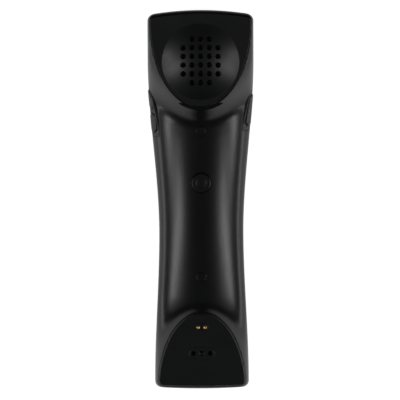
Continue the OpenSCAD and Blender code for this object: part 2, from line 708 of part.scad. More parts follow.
// Call key, from its top down to the switch on the board
call_flange_r = call_r + 1.2;
call_flange_t = 0.8;
call_flange_z = skin_z(call_flange_r, call_y, wall) - 0.1;
call_dish_r = call_r - 1.8;
call_dish_depth = 0.35;
call_dish_curve = (call_dish_r * call_dish_r + call_dish_depth * call_dish_depth) / (2 * call_dish_depth);
call_edge = 0.3;
call_top = crown_z(call_y) + call_proud;
call_stem_r = 1.6;
call_stem_len = 0.75;
call_stem_z = call_flange_z - call_flange_t - call_stem_len;
plunger_h = 0.8;
plunger_top = call_stem_z - key_travel - touch_gap;
call_switch_w = 6;

module call_button() color("#202122") translate([0, call_y, 0]) difference() {
    rotate_extrude($fn = 64) polygon([
        [0, call_stem_z], [call_stem_r, call_stem_z], [call_stem_r, call_flange_z - call_flange_t],
        [call_flange_r, call_flange_z - call_flange_t], [call_flange_r, call_flange_z], [call_r, call_flange_z],
        [call_r, call_top - call_edge], [call_r - call_edge, call_top], [0, call_top]]);
    translate([0, 0, call_top - call_dish_depth + call_dish_curve]) sphere(call_dish_curve);
}

module call_switch() color("#3a3a3c") translate([0, call_y, board_top]) {
    block(call_switch_w, call_switch_w, plunger_top - plunger_h - board_top, 0.4);
    cylinder(h = plunger_top - board_top, r = call_stem_r);
}

// Screws and their bosses
boss_r = head_r + 1.2;
boss_meet_z = seam_z + 6.4;
screw_tip_z = seam_z - 3;
head_h = 1.5;
head_depth = 3.4;
head_play = 0.3;
shank_play = 0.15;
socket_r = 1.1;
socket_t = 0.8;
screw_ys = [screw_upper_y, -screw_lower_y];
board_screw_x = board_w / 2 - 4.5;
board_screw_ys = [screw_upper_y - 8.9, 7.3 - screw_lower_y];
board_screw_r = 0.8;
board_screw_head_r = 1.5;
board_screw_head_h = 1.1;
board_screw_len = 5;
board_socket_t = 0.6;
post_r = 2.3;
notch_r = 0.45;

module board_screw_places() for (x = [-board_screw_x, board_screw_x], y = board_screw_ys)
    translate([x, y, 0]) children();

module plug(y, notch) on_crown(y) translate([0, 0, -plug_t]) difference() {
    cylinder(h = plug_t, r = plug_r);
    translate([0, notch * plug_r, -1]) cylinder(h = plug_t + 2, r = notch_r);
}

module screw_plug_upper() color("#1f2021") plug(screw_upper_y, 1);
module screw_plug_lower() color("#1f2021") plug(-screw_lower_y, -1);

module housing_screws() color("#7d8084") for (y = screw_ys) translate([0, y, 0]) difference() {
    head_z = crown_z(y) - head_depth;
    union() {
        translate([0, 0, head_z]) cylinder(h = head_h, r = head_r);
        translate([0, 0, screw_tip_z]) cylinder(h = head_z - screw_tip_z + 0.5, r = shank_r);
    }
    translate([0, 0, head_z + head_h - socket_t]) cylinder(h = socket_t + 1, r = socket_r, $fn = 6);
}

module board_screws() color("#7d8084") board_screw_places() translate([0, 0, board_z]) difference() {
    union() {
        translate([0, 0, -board_screw_head_h]) cylinder(h = board_screw_head_h, r = board_screw_head_r);
        cylinder(h = board_screw_len, r = board_screw_r);
    }
    translate([0, 0, -board_screw_head_h - 1]) cylinder(h = 1 + board_socket_t, r = 0.8, $fn = 6);
}

// The hook slot under the tip of the earpiece cover
hook_lip = 1.75;
hook_y = ear_oval_y - ear_cover_b - hook_lip;
hook_r = 20.7;
hook_depth = 3.2;
hook_reach = 4;

// Facets of the shells, and where the tongue and the groove stand in the wall
length_steps = 50;
round_steps = 26;
back_length_steps = 26;
back_steps = 18;
tongue_share = 0.6;
groove_share = 0.5;

module front_shell() {
    outer = front_rows(0, 0, length_steps, round_steps);
    inner = front_rows(wall, 1, length_steps, round_steps);
    between(outer, inner, true, [
        rim_loop(outer, inner, groove_share, lift_at(0)),
        rim_loop(outer, inner, groove_share, lift_at(wall))]);
}

module rear_shell() {
    outer = back_rows(0, back_length_steps, back_steps, -seam_gap / 2);
    inner = back_rows(wall, back_length_steps, back_steps, tongue_h);
    between(outer, inner, false, [
        rim_loop(outer, inner, tongue_share, -seam_gap / 2),
        rim_loop(outer, inner, tongue_share, tongue_h)]);
}

module hook_slot() translate([0, 0, ear_face_z(hook_y) - hook_depth]) intersection() {
    translate([0, hook_y + hook_r, 0]) cylinder(h = 20, r = hook_r, $fn = 96);
    translate([-hook_r, hook_y - 1, 0]) cube([2 * hook_r, hook_reach + 1, 20]);
}

module front_housing() color("#1b1c1d") difference() {
    union() {
        front_shell();
        intersection() {
            loft([ear_loop(ear_rim, -ear_cover_t - ear_rim_below), ear_loop(ear_rim, -ear_rim_drop)]);
            translate([-ear_w, 0, 0]) cube([2 * ear_w, ear_rim_end_y, 2 * ear_z]);
        }
        for (y = screw_ys) translate([0, y, boss_meet_z])
            cylinder(h = skin_z(boss_r, y, wall / 2) - boss_meet_z, r = boss_r);
        for (x = [-board_screw_x, board_screw_x], y = board_screw_ys) translate([x, y, board_top])
            cylinder(h = skin_z(board_screw_x + post_r, y, wall / 2) + 0.4 - board_top, r = post_r);
    }
    loft([ear_loop(fit, -ear_cover_t), ear_loop(fit, 8)]);
    loft([mouth_loop(fit, -mouth_cover_t), mouth_loop(fit, 8)]);
    on_ear() translate([0, 0, bowl_low - 1]) cylinder(h = 1 - bowl_low, r = bowl_r + fit);
    hook_slot();
    on_mouth() {
        translate([0, 0, -mouth_under - 3]) cylinder(h = mouth_under + 2, r = boot_r + fit);
        translate([0, contact_v, -mouth_under - 3])
            block(block_w + 2 * fit, block_l + 2 * fit, mouth_under + 2);
    }
    translate([0, call_y, crown_z(call_y) - wall - 4]) cylinder(h = wall + 8, r = call_r + key_play);
    for (y = screw_ys) {
        on_crown(y) translate([0, 0, -plug_t]) cylinder(h = plug_t + 3, r = plug_r + fit);
        translate([0, y, crown_z(y) - head_depth]) cylinder(h = head_depth, r = head_r + head_play);
        translate([0, y, boss_meet_z - 1]) cylinder(h = crown_z(y) - boss_meet_z, r = shank_r + shank_play);
    }
    board_screw_places() translate([0, 0, board_top - 1]) cylinder(h = board_screw_len, r = board_screw_r);
    bezel_part(mute_y, mute_bezel_len, -1, bezel_t, fit);
    key_prism(mute_y, mute_len, key_play);
    mirror([1, 0, 0]) {
        bezel_part(volume_y, volume_bezel_len, -1, bezel_t, fit);
        key_prism(volume_up_y, volume_len, key_play);
        key_prism(volume_down_y, volume_len, key_play);
    }
}

// The battery lies between the two housing screws, on ribs of the rear shell
battery_y = (screw_upper_y - screw_lower_y) / 2;
battery_len = screw_upper_y + screw_lower_y - 2 * (boss_r + battery_room);
battery_w = waist_w - 2 * battery_side;
battery_t = board_z - battery_pad_t - battery_z;
battery_end_y = battery_y + battery_len / 2;
rib_t = 1.2;
rib_inset = 5.6;
rib_sunk = 0.4;
stop_w = 4;
stop_h = 6;
stop_inset = 3;
weight_y = 9.5 - half_len;
weight_w = 24;
weight_l = 8;
weight_h = 9;
weight_z = back_z(weight_y) + wall + 1.9;

module rear_housing() color("#1b1c1d") difference() {
    union() {
        rear_shell();
        for (y = screw_ys) translate([0, y, back_z(y) + wall / 2])
            cylinder(h = boss_meet_z - back_z(y) - wall / 2, r = boss_r);
        both_sides() {
            translate([battery_w / 2 - rib_inset, battery_y - battery_len / 2 + 4, wall - rib_sunk])
                cube([rib_t, battery_len - 8, battery_z - wall + rib_sunk]);
            for (end = [-1, 1]) translate([battery_w / 2 - stop_inset, battery_y, wall + rib_sunk])
                translate([-stop_w / 2, end * (battery_len / 2 + fit + rib_t / 2) - rib_t / 2, 0])
                    cube([stop_w, rib_t, stop_h]);
            translate([weight_w / 2 - stop_inset, weight_y - weight_l / 2 + 0.5, weight_z - 2.5])
                cube([rib_t, weight_l - 1, 2.5]);
        }
    }
    for (y = screw_ys) translate([0, y, screw_tip_z - 0.8])
        cylinder(h = boss_meet_z - screw_tip_z + 2, r = shank_r);
}

// The board: a narrow part in the grip and a wide one between the side keys
board_low_inset = 50.5;
board_high_inset = 36.5;
board_low_y = board_low_inset - half_len;
board_high_y = half_len - board_high_inset;
board_wide_len = 40;
board_wide_y = board_high_y - board_wide_len;
board_corner = 1.5;
board_lap = 2;
shield_w = 20;
shield_l = 18;
shield_h = 2.4;
shield_t = 0.3;
shield_y = (call_y - call_flange_r + boss_r - screw_lower_y) / 2;
antenna_x = 2.5 - board_w / 2;
antenna_y = board_low_y + 2;
antenna_len = 10;
antenna_h = 3.6;
antenna_t = 0.5;
antenna_leg = 9;
socket_w = 7;
socket_l = 4;
socket_h = 3;
upper_socket_inset = 7;
lower_socket_inset = 2.5;
upper_socket_y = board_high_y - upper_socket_inset;
lower_socket_y = board_low_y + lower_socket_inset;
battery_socket_x = -2.1;
battery_socket_gap = 4.5;
battery_socket_y = battery_end_y + battery_socket_gap + socket_l / 2;
lead_r = 0.55;
lead_pitch = 2.4;
// How far each lead runs straight before it bends, at its start and at its socket
battery_lead_start = 2;
battery_lead_end = 2;
receiver_lead_start = 5;
receiver_lead_end = 4;
charging_lead_start = 7;
charging_lead_end = 8;
microphone_lead_start = 10;
microphone_lead_end = 12;

module main_board() color("#1d5a3a") translate([0, 0, board_z]) difference() {
    union() {
        translate([0, (board_low_y + board_wide_y + board_lap) / 2, 0])
            block(board_w, board_wide_y + board_lap - board_low_y, board_t, board_corner);
        translate([0, board_wide_y + board_wide_len / 2, 0])
            block(board_wide_w, board_wide_len, board_t, board_corner);
    }
    for (y = screw_ys) translate([0, y, -1]) cylinder(h = board_t + 2, r = boss_r + head_play);
    board_screw_places() translate([0, 0, -1]) cylinder(h = board_t + 2, r = board_screw_r + fit);
}

module radio_shield() color("#a9adb0") translate([0, shield_y, board_top]) difference() {
    block(shield_w, shield_l, shield_h, 0.6);
    translate([0, 0, -1]) block(shield_w - 2 * shield_t, shield_l - 2 * shield_t, 1 + shield_h - shield_t, 0.4);
}

module radio_antenna() color("#b9885a") translate([antenna_x, antenna_y, board_top]) {
    cube([antenna_len, antenna_t, antenna_h]);
    translate([0, 0, antenna_h - 1]) cube([1, antenna_leg, 1]);
    translate([0, antenna_leg - 1, 0]) cube([1, 1, antenna_h]);
}

module socket() block(socket_w, socket_l, socket_h, 0.3);

module lead_connectors() color("#e4dfcf") {
    translate([0, upper_socket_y, board_top]) socket();
    translate([0, lower_socket_y, board_top]) socket();
    translate([0, lower_socket_y, board_z - socket_h]) socket();
    translate([battery_socket_x, battery_socket_y, board_z - socket_h]) socket();
}

module battery() color("#5a6a78") translate([0, battery_y, battery_z])
    block(battery_w, battery_len, battery_t, 2);

module battery_pad() color("#1a1a1a") translate([0, battery_y, battery_z + battery_t])
    block(battery_w - 8, battery_len - 12, battery_pad_t, 1);

// A pair of leads: each route leaves its start along the vector u and its end along the vector v
function bend(a, u, b, v) = let (first = a + 0.15 * u, last = b + 0.15 * v) concat(
    [a],
    [for (i = [0:7]) let (t = i / 7, s = 1 - t)
        s * s * (s * first + 3 * t * (a + u)) + t * t * (3 * s * (b + v) + t * last)],
    [b]);

module pair(x, pitch, a, u, b, v) for (side = [-1, 1])
    wire(x + side * pitch / 2, bend(a, u, b, v), lead_r);

module battery_lead() color("#b02a22") pair(battery_socket_x, lead_pitch,
    [battery_end_y, battery_z + battery_t / 2], [battery_lead_start, 0],
    [battery_socket_y - socket_l / 2, board_z - socket_h / 2], [-battery_lead_end, 0]);

module receiver_lead() color("#d8d8d8") pair(0, lead_pitch,
    ear_at(-receiver_lead_r, receiver_back), ear_at(0, -receiver_lead_start) - ear_at(0, 0),
    [upper_socket_y + socket_l / 2, board_top + socket_h / 2], [receiver_lead_end, 0]);

module charging_lead() color("#c23b30") pair(0, contact_pitch,
    mouth_at(contact_v, pin_tail_z), mouth_at(0, -charging_lead_start) - mouth_at(0, 0),
    [lower_socket_y - socket_l / 2, board_top + socket_h / 2], [-charging_lead_end, 0]);

module microphone_lead() color("#3a5fb0") pair(0, lead_pitch,
    mouth_at(0, -mic_back), mouth_at(0, -microphone_lead_start) - mouth_at(0, 0),
    [lower_socket_y - socket_l / 2, board_z - socket_h / 2], [-microphone_lead_end, 0]);

module balance_weight() color("#6d7073") translate([0, weight_y, weight_z])
    block(weight_w, weight_l, weight_h, 1);

front_housing();
rear_housing();
earpiece_cover();
earpiece_mesh();
receiver();
receiver_diaphragm();
receiver_magnet();
receiver_gasket();
receiver_retainer();
mouthpiece_cover();
contact_block();
charging_contact_left();
charging_contact_right();
microphone();
microphone_boot();
call_button();
call_switch();
left_key_bezel();
right_key_bezel();
volume_up_key();
volume_down_key();
mute_key();
volume_up_switch();
volume_down_switch();
mute_switch();
main_board();
radio_shield();
radio_antenna();
lead_connectors();
battery();
battery_pad();
battery_lead();
receiver_lead();
microphone_lead();
charging_lead();
screw_plug_upper();
screw_plug_lower();
housing_screws();
board_screws();
balance_weight();
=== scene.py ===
"""A cordless telephone handset on a pale studio floor, seen from straight above its inner side."""

import json
import math

import bmesh
import bpy
import numpy as np
from mathutils import Matrix, Quaternion, Vector


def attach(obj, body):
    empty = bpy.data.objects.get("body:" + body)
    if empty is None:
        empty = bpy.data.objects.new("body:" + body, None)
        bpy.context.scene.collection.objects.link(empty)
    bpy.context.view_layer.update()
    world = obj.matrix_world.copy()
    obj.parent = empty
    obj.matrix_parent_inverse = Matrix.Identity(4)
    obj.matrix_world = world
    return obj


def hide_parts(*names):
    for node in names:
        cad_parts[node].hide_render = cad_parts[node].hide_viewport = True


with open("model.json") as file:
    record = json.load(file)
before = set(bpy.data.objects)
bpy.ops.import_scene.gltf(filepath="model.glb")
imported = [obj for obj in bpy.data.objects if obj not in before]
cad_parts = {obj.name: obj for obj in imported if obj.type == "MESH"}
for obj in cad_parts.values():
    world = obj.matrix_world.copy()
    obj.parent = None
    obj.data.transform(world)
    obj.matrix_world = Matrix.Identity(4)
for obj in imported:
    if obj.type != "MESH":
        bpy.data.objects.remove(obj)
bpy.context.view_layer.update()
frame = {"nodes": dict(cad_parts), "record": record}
MM = 0.001

# Sizes of the housing in millimetres
BODY_LEN = 205
EAR_W, WAIST_W, MOUTH_W = 57.5, 45.9, 50.9
WAIST_Y, EAR_FULL_Y, MOUTH_FULL_Y = 18, 75, -97
GRIP_T, HOLLOW_R, CROWN_LOW_Y, CROWN_RISE = 22.5, 400, -12, 4.6
BACK_R, SEAM_Z, SEAM_R = 560, 10, 430
CORNER_R, WALL, SEAM_GAP = 3.2, 2.0, 0.3
EAR_BOW_R, MOUTH_BOW_R = 165, 390
EAR_FALL, MOUTH_FALL = (1.15, 0.055), (1.1, 0.05)
EAR_FALL_AHEAD, MOUTH_LEDGE, FALL_PER_DEPTH = 0.3, 0.5, 0.6
EDGE_SOFT, EAR_HOLLOW, MOUTH_HOLLOW = 0.4, 14, 7
BOW_FROM, BOW_LEN, CROWN_RISE_FROM, CROWN_RISE_LEN = 60, 40, 45, 40
GRIP_SQUARENESS, EAR_SQUARER, MOUTH_SQUARER, BACK_SQUARENESS = 2.05, 5.5, 2.2, 2.7
EAR_SQUARE_FROM, EAR_SQUARE_LEN, MOUTH_SQUARE_LEN = 50, 34, 36
EAR_SHOULDER, EAR_SHOULDER_FROM, EAR_SHOULDER_LEN = 0.15, 46, 32
MOUTH_SHOULDER, MOUTH_SHOULDER_FROM, MOUTH_SHOULDER_LEN = 0.3, 52, 34

# Sizes of the earpiece
EAR_Y, EAR_Z, EAR_TILT = 74.5, 40.5, math.radians(8)
EAR_OVAL_Y, EAR_END_Y = 96.5, 100.6
EAR_A, EAR_B, EAR_T, EAR_RIM, EAR_CORNER, RIM_END_Y = 27.5, 46.4, 2.0, 0.8, 1.8, 86
EAR_EDGE_R, DISH_R, DISH_CURVE, DISH_EDGE_R = 0.5, 20.9, 42.0, 1.2
EAR_SEAT_FIT, DISH_ROOM, BOWL_WALL = 0.14, 1, 0.9
SOUND_R, SOUND_PITCH, SOUND_ROWS, SOUND_COLUMNS = 1.5, 4.75, 6, 5
HOOK_Y, HOOK_R, HOOK_DEPTH, HOOK_REACH, HOOK_ARC = 48.35, 20.7, 3.2, 4, (200, 340)

# Sizes of the mouthpiece
MIC_Y, MOUTH_Z, MOUTH_TILT = 83.5, 34.5, math.radians(11)
MOUTH_OVAL_Y, MOUTH_END_Y = -104, -101.3
MOUTH_A, MOUTH_B, MOUTH_T, MOUTH_PROUD, MOUTH_CORNER = 23.9, 42.2, 2.6, 1.2, 2.2
MOUTH_EDGE_R = 1.0
CONTACT_V, CONTACT_R, CONTACT_PITCH = 14.2 / math.cos(MOUTH_TILT), 1.1, 3.9
CONTACT_RECESS, CONTACT_RECESS_R = (CONTACT_PITCH / 2 + CONTACT_R + 0.75, CONTACT_R + 0.95), 0.5
MIC_R, MIC_SIDE_R, MIC_PITCH, BOOT_ROOM_R = 1.6, 1.3, 4.5, 6.7
MIC_RECESS = (MIC_PITCH + MIC_SIDE_R + 1.2, MIC_R + 2.2)

# Sizes of the keys and the screw plugs
CALL_Y, CALL_R, CALL_PROUD, KEY_PLAY, CALL_LIP_R = 8.8, 5.2, 0.25, 0.3, 0.3
CALL_EDGE_R, CALL_DISH_R, CALL_DISH_DEPTH, CALL_DISH_EDGE = 0.45, 3.4, 0.35, 0.15
CALL_FLANGE_DEPTH, CALL_FLANGE_T, CALL_FLANGE_W, CALL_STEM_DEPTH, CALL_STEM_R = 2.6, 0.8, 1.2, 4, 1.6
BEZEL_H, BEZEL_T, BEZEL_MID_H, BEZEL_R, BEZEL_MARGIN = 6.8, 0.8, 4.4, 1.8, 2.4
KEY_H, KEY_MID_H, KEY_PROUD, KEY_DEPTH, KEY_EDGE_R = 4.4, 4.2, 0.5, 2.6, 0.45
VOLUME_Y, VOLUME_LEN, VOLUME_GAP = 48.2, 10.4, 2.4
MUTE_Y, MUTE_LEN = 48.6, 17.4
PLUG_R, PLUG_T, PLUG_EDGE_R, PLUG_LIP_R, NOTCH_R = 2.6, 0.9, 0.12, 0.15, 0.45
PLUGS = {"screw_plug_upper": (36.9, 1), "screw_plug_lower": (-42.3, -1)}
FIT = 0.1

# Rows along the body and columns over half its width, and how much the columns crowd at the flanks
FRONT_GRID, BACK_GRID, HOLLOW_GRID, CROWDING = (300, 84), (200, 60), (90, 30), 1.7
# How far cutters reach past the surfaces that they cut
HOLLOW_PAST_SEAM, SEAT_PAST, ROOM_PAST, SLOT_PAST, CALL_PAST, PLUG_PAST = 0.4, 8, 9, 20, 4, 3


# The form of the housing
def smooth(t):
    u = np.clip(t, 0, 1)
    return u * u * (3 - 2 * u)


def mix(a, b, t):
    return a + (b - a) * t


def arch(y, r):
    return y * y / (2 * r)


def blend_max(a, b, k):
    """The larger of two heights, with a soft hollow of width k where they meet."""
    h = np.maximum(k - np.abs(a - b), 0)
    return np.maximum(a, b) + h**3 / (6 * k * k)


def half_w(y):
    """Half the width of the body in plan."""
    ear = mix(WAIST_W, EAR_W, smooth((y + WAIST_Y) / (EAR_FULL_Y + WAIST_Y)))
    mouth = mix(WAIST_W, MOUTH_W, smooth((y + WAIST_Y) / (MOUTH_FULL_Y + WAIST_Y)))
    return np.where(y > -WAIST_Y, ear, mouth) / 2


def back_z(y):
    """Height of the back along its middle."""
    return arch(y, BACK_R)


def seam_z(y):
    """Height of the seam between the two shells."""
    return SEAM_Z + arch(y, SEAM_R)


def crown_z(y):
    """Height of the middle of the grip, which rises towards both ends."""
    u = np.abs(y - CROWN_LOW_Y)
    return GRIP_T + mix(arch(u, HOLLOW_R), CROWN_RISE, smooth((u - CROWN_RISE_FROM) / CROWN_RISE_LEN))


def ear_face_z(y):
    return EAR_Z + (y - EAR_Y) * math.tan(EAR_TILT)


def mouth_face_z(y):
    return MOUTH_Z - (MIC_Y + y) * math.tan(MOUTH_TILT)


def oval_gap(x, v, a, b):
    """Distance outside an oval of half width a and length b, whose wide end is v = 0."""
    u = np.maximum(v, 0)
    q = np.maximum(np.hypot(x / a, u / b), 0.2)
    return (q - 1) * q / np.maximum(np.hypot(x / (a * a), u / (b * b)), 0.001)


def fall(d, f):
    """Drop of the wall round a face at a distance d outside its edge."""
    near = f[0] * (d + EDGE_SOFT) ** 2 / (4 * EDGE_SOFT)
    return np.where(d < -EDGE_SOFT, 0, np.where(d < EDGE_SOFT, near, f[0] * d + f[1] * d * d))


def squareness(y):
    """How square the flanks are, as a superellipse's exponent."""
    ear = EAR_SQUARER * smooth((y - EAR_SQUARE_FROM) / EAR_SQUARE_LEN)
    mouth = MOUTH_SQUARER * smooth((-y - BOW_FROM) / MOUTH_SQUARE_LEN)
    return GRIP_SQUARENESS + ear + mouth


def shoulder(y):
    """Share of the half width over which the top rounds into the flank."""
    ear = mix(1, EAR_SHOULDER, smooth((y - EAR_SHOULDER_FROM) / EAR_SHOULDER_LEN))
    return mix(ear, MOUTH_SHOULDER, smooth((-y - MOUTH_SHOULDER_FROM) / MOUTH_SHOULDER_LEN))


def top_z(x, y, t):
    """Height of the inner side at depth t, before its flanks are rounded."""
    ear = oval_gap(x, EAR_OVAL_Y - y, EAR_A + EAR_RIM, EAR_B + EAR_RIM) + EAR_FALL_AHEAD + FALL_PER_DEPTH * t
    mouth = oval_gap(x, y - MOUTH_OVAL_Y, MOUTH_A + MOUTH_LEDGE, MOUTH_B + MOUTH_LEDGE) + FALL_PER_DEPTH * t
    grip_and_ear = blend_max(crown_z(y) - t, ear_face_z(y) - t - fall(ear, EAR_FALL), EAR_HOLLOW)
    return blend_max(grip_and_ear, mouth_face_z(y) - MOUTH_PROUD - t - fall(mouth, MOUTH_FALL), MOUTH_HOLLOW)


def round_off(s, n):
    """The rounding of a flank, from 1 on top to 0 at the seam."""
    return np.maximum(1 - np.minimum(s, 1) ** n, 0) ** (1 / n)


def bow(p):
    """The two ends are bowed in plan."""
    x, y, z = p[..., 0], p[..., 1], p[..., 2]
    ear = arch(x, EAR_BOW_R) * smooth((y - BOW_FROM) / BOW_LEN)
    mouth = arch(x, MOUTH_BOW_R) * smooth((-y - BOW_FROM) / BOW_LEN)
    return np.stack([x, y - ear + mouth, z], -1)


def front_point(a, y, t, inset=0.0):
    """A point of the inner side at angle a from its middle, at depth t; inset rounds the ends."""
    w = half_w(y) - t
    x = w * np.sin(a)
    r = w * shoulder(y)
    s = np.maximum(np.abs(x) - (w - r), 0) / r
    z = mix(seam_z(y) + SEAM_GAP / 2, top_z(x, y, t) - inset, round_off(s, squareness(y)))
    return bow(np.stack([x * (w - inset) / w, y + 0 * x, z], -1))


def back_point(a, y, t, inset=0.0):
    """A point of the back at angle a from its middle, at depth t."""
    w = half_w(y) - t
    x = w * np.sin(a)
    curve = round_off(np.abs(np.sin(a)), BACK_SQUARENESS)
    z = mix(seam_z(y) - SEAM_GAP / 2, back_z(y) + t + inset, curve)
    return bow(np.stack([x * (w - inset) / w, y + 0 * x, z], -1))


# Meshes
def shade(obj, crease=32):
    """Smooth shading with a crease where faces meet at more than an angle."""
    obj.data.polygons.foreach_set("use_smooth", [True] * len(obj.data.polygons))
    obj.data.set_sharp_from_angle(angle=math.radians(crease))


def even_out(obj):
    """Lets the large faces lead the shading, so that flat ones look flat beside their rounded edges."""
    lead = obj.modifiers.new("lead", "WEIGHTED_NORMAL")
    lead.keep_sharp = True
    lead.weight = 100
    graph = bpy.context.evaluated_depsgraph_get()
    obj.data = bpy.data.meshes.new_from_object(obj.evaluated_get(graph))
    obj.modifiers.clear()


def solid(name, verts, faces, place=None):
    """A closed mesh from points in millimetres, with its doubles merged and its faces outwards."""
    mesh = bpy.data.meshes.new(name)
    mesh.from_pydata((np.asarray(verts, float) * MM).tolist(), [], faces)
    bm = bmesh.new()
    bm.from_mesh(mesh)
    bmesh.ops.remove_doubles(bm, verts=bm.verts, dist=1e-7)
    bmesh.ops.dissolve_degenerate(bm, edges=bm.edges, dist=1e-8)
    if place is not None:
        bmesh.ops.transform(bm, matrix=place, verts=bm.verts)
    bmesh.ops.recalc_face_normals(bm, faces=bm.faces)
    bm.to_mesh(mesh)
    bm.free()
    obj = bpy.data.objects.new(name, mesh)
    bpy.context.scene.collection.objects.link(obj)
    shade(obj)
    return obj


def plain(obj):
    """Turns a piece with modifiers into a plain mesh."""
    graph = bpy.context.evaluated_depsgraph_get()
    obj.data = bpy.data.meshes.new_from_object(obj.evaluated_get(graph))
    obj.modifiers.clear()
    shade(obj)


def carve(obj, cutters, joined=()):
    """Joins solids to a piece, takes the cutters away and forgets them all."""
    for operation, others in (("UNION", joined), ("DIFFERENCE", cutters)):
        for other in others:
            cut = obj.modifiers.new(operation.lower(), "BOOLEAN")
            cut.operation = operation
            cut.solver = "MANIFOLD"
            cut.object = other
    plain(obj)
    for other in [*joined, *cutters]:
        bpy.data.objects.remove(other)
    return obj


def loft(name, loops, place=None):
    """A closed solid through loops of equally many points."""
    k = len(loops[0])
    ring = range(k)
    faces = [
        (i * k + j, i * k + (j + 1) % k, (i + 1) * k + (j + 1) % k, (i + 1) * k + j)
        for i in range(len(loops) - 1)
        for j in ring
    ]
    faces += [tuple(reversed(ring)), tuple((len(loops) - 1) * k + j for j in ring)]
    return solid(name, np.concatenate(loops), faces, place)


def flat(outline, z):
    """An outline in a plane at a height."""
    return np.column_stack([outline, np.full(len(outline), z)])


def turned(name, profile, place=None, steps=64):
    """A turned solid from a profile [(radius, height), ...] that starts and ends on its axis."""
    turn = np.linspace(0, 2 * math.pi, steps, endpoint=False)
    circle = np.stack([np.cos(turn), np.sin(turn)], -1)
    return loft(name, [flat(r * circle, z) for r, z in profile], place)


def rod(name, r, low, high, place, steps=64):
    """A cylinder between two heights."""
    return turned(name, [(0, low), (r, low), (r, high), (0, high)], place, steps)


def arc(cx, cz, r, start, end, steps=6):
    """Points (radius, height) on an arc between two angles in degrees."""
    turn = np.radians(np.linspace(start, end, steps + 1))
    return [(cx + r * math.cos(t), cz + r * math.sin(t)) for t in turn]


def at(x, y, z, tilt=0.0):
    """The place of a solid in millimetres, tilted about the X axis."""
    return Matrix.Translation(Vector((x, y, z)) * MM) @ Matrix.Rotation(tilt, 4, "X")


def on_ear():
    """The place of the earpiece face."""
    return at(0, EAR_Y, EAR_Z, EAR_TILT)


def on_mouth(x=0.0, y=0.0):
    """A place on the mouthpiece face, from its microphone."""
    return at(0, -MIC_Y, MOUTH_Z, -MOUTH_TILT) @ at(x, y, 0)


def on_crown(y):
    """A place on the middle of the grip."""
    return at(0, y, float(crown_z(y)), math.atan((y - CROWN_LOW_Y) / HOLLOW_R))


# Outlines of the covers and the keys
def cover_outline(a, b, reach, bow_r, r, steps=96):
    """A cover's outline: an oval's tip at v = b, and a bowed far end at v = -reach with round corners."""
    vc = arch(a - r, bow_r) + r - reach
    t0 = math.asin(vc / b)
    c = a * math.cos(t0) - r
    tip = [(a * math.cos(t), b * math.sin(t)) for t in np.linspace(t0, math.pi - t0, steps + 1)]
    corner = [(r * math.cos(t), r * math.sin(t)) for t in np.radians(np.linspace(195, 270, 6))]
    end = [(x, vc - r - arch(c, bow_r) + arch(x, bow_r)) for x in np.linspace(-c, c, 26)[1:-1]]
    left = [(x - c, vc + v) for x, v in corner]
    right = [(c - x, vc + v) for x, v in reversed(corner)]
    return np.array(tip + left + end + right)


def ear_loop(grow, rise):
    """The earpiece cover's outline grown in its plane, at a height above its face."""
    reach = EAR_END_Y - EAR_OVAL_Y + grow
    o = cover_outline(EAR_A + grow, EAR_B + grow, reach, EAR_BOW_R, EAR_CORNER + grow)[::-1]
    y = EAR_OVAL_Y - o[:, 1]
    return np.stack([o[:, 0], y, ear_face_z(y) + rise], -1)


def mouth_loop(grow, rise):
    """The mouthpiece cover's outline grown in its plane, at a height above its face."""
    reach = MOUTH_OVAL_Y - MOUTH_END_Y + grow
    o = cover_outline(MOUTH_A + grow, MOUTH_B + grow, reach, MOUTH_BOW_R, MOUTH_CORNER + grow)
    y = MOUTH_OVAL_Y + o[:, 1]
    return np.stack([o[:, 0], y, mouth_face_z(y) + rise], -1)


def cover_plate(name, loop, thick, edge_r, steps=6):
    """A cover's plate with a rounded upper edge."""
    turn = np.linspace(0, math.pi / 2, steps + 1)
    edge = [loop(-edge_r * (1 - math.cos(t)), -edge_r * (1 - math.sin(t))) for t in turn]
    return loft(name, [loop(0, -thick), *edge])


def round_rect(w, length, r, steps=8):
    """Outline of a rounded rectangle about its middle."""
    return np.array(
        [
            (sx * (w / 2 - r) + r * math.cos(t), sy * (length / 2 - r) + r * math.sin(t))
            for sx, sy, start in ((1, 1, 0), (-1, 1, 90), (-1, -1, 180), (1, -1, 270))
            for t in np.radians(np.linspace(start, start + 90, steps + 1))
        ]
    )


def flank_x(y, z, t):
    """Distance of the flank from the middle plane at a height z, at depth t."""
    low, high = np.full(len(y), math.radians(35)), np.full(len(y), math.pi / 2)
    for _ in range(24):
        mid = (low + high) / 2
        above = front_point(mid, y, t)[:, 2] > z
        low, high = np.where(above, mid, low), np.where(above, high, mid)
    return (half_w(y) - t) * np.sin((low + high) / 2)


def flank_loop(place, size, side, grow, t, share=1.0):
    """A rounded outline laid on a flank at depth t: place is its length and its height above the seam."""
    (y0, h0), (high, length, r) = place, size
    o = share * round_rect(high + 2 * grow, length + 2 * grow, min(r + grow, high / 2 + grow - 0.02))
    slope = math.atan(y0 / SEAM_R)
    y = y0 + o[:, 1] * math.cos(slope) - o[:, 0] * math.sin(slope)
    z = float(seam_z(y0)) + h0 + o[:, 1] * math.sin(slope) + o[:, 0] * math.cos(slope)
    return np.stack([side * flank_x(y, z, t), y, z], -1)


def flank_solid(name, where, steps, crown=False):
    """A solid on a flank through (grow, depth) steps of one outline; a crown closes it along the skin."""
    loops = [flank_loop(*where, grow, t) for grow, t in steps]
    if crown:
        loops += [flank_loop(*where, *steps[-1], share) for share in (0.85, 0.65, 0.45, 0.25, 0.05)]
    return loft(name, loops)


